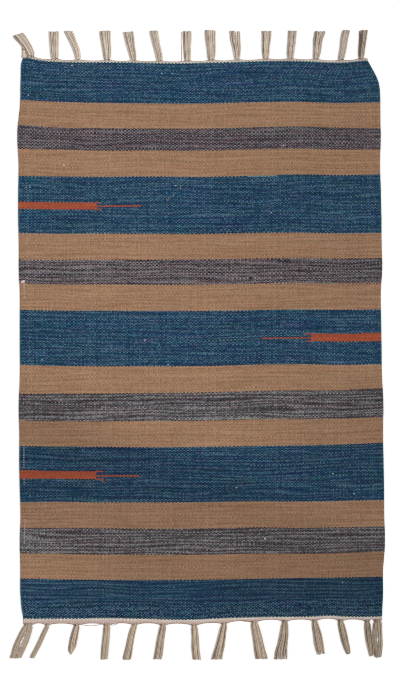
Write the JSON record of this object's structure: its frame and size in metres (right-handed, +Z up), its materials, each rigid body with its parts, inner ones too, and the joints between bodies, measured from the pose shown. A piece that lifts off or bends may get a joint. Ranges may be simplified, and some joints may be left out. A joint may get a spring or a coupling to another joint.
{
  "type": "kilim rug",
  "caption": "Flat-woven rectangular kilim rug with cross stripes, cream end bands and knotted warp tassels at both ends, lying flat face up.",
  "frame": {"origin": "middle of the footprint on the floor, tassels included", "axes": "+X across the rug, +Y along it towards the end whose right corner is drawn in, +Z up out of its face"},
  "size_m": [0.9428, 1.5878, 0.0066],
  "materials": {
    "field_weave": "matte weft-faced weave in slate blue, tan and grey melange stripes with short rust bars",
    "cream_band": "matte undyed cotton, plain woven",
    "fringe_cotton": "matte undyed cotton yarn, loosely plied"
  },
  "bodies": {
    "root": {"woven_field": "field_weave", "end_band_top": "cream_band", "end_band_bottom": "cream_band", "tassel_top_01": "fringe_cotton", "tassel_top_02": "fringe_cotton", "tassel_top_03": "fringe_cotton", "tassel_top_04": "fringe_cotton", "tassel_top_05": "fringe_cotton", "tassel_top_06": "fringe_cotton", "tassel_top_07": "fringe_cotton", "tassel_top_08": "fringe_cotton", "tassel_top_09": "fringe_cotton", "tassel_top_10": "fringe_cotton", "tassel_top_11": "fringe_cotton", "tassel_top_12": "fringe_cotton", "tassel_top_13": "fringe_cotton", "tassel_top_14": "fringe_cotton", "tassel_bottom_01": "fringe_cotton", "tassel_bottom_02": "fringe_cotton", "tassel_bottom_03": "fringe_cotton", "tassel_bottom_04": "fringe_cotton", "tassel_bottom_05": "fringe_cotton", "tassel_bottom_06": "fringe_cotton", "tassel_bottom_07": "fringe_cotton", "tassel_bottom_08": "fringe_cotton", "tassel_bottom_09": "fringe_cotton", "tassel_bottom_10": "fringe_cotton", "tassel_bottom_11": "fringe_cotton", "tassel_bottom_12": "fringe_cotton", "tassel_bottom_13": "fringe_cotton", "tassel_bottom_14": "fringe_cotton"}
  },
  "joints": []
}
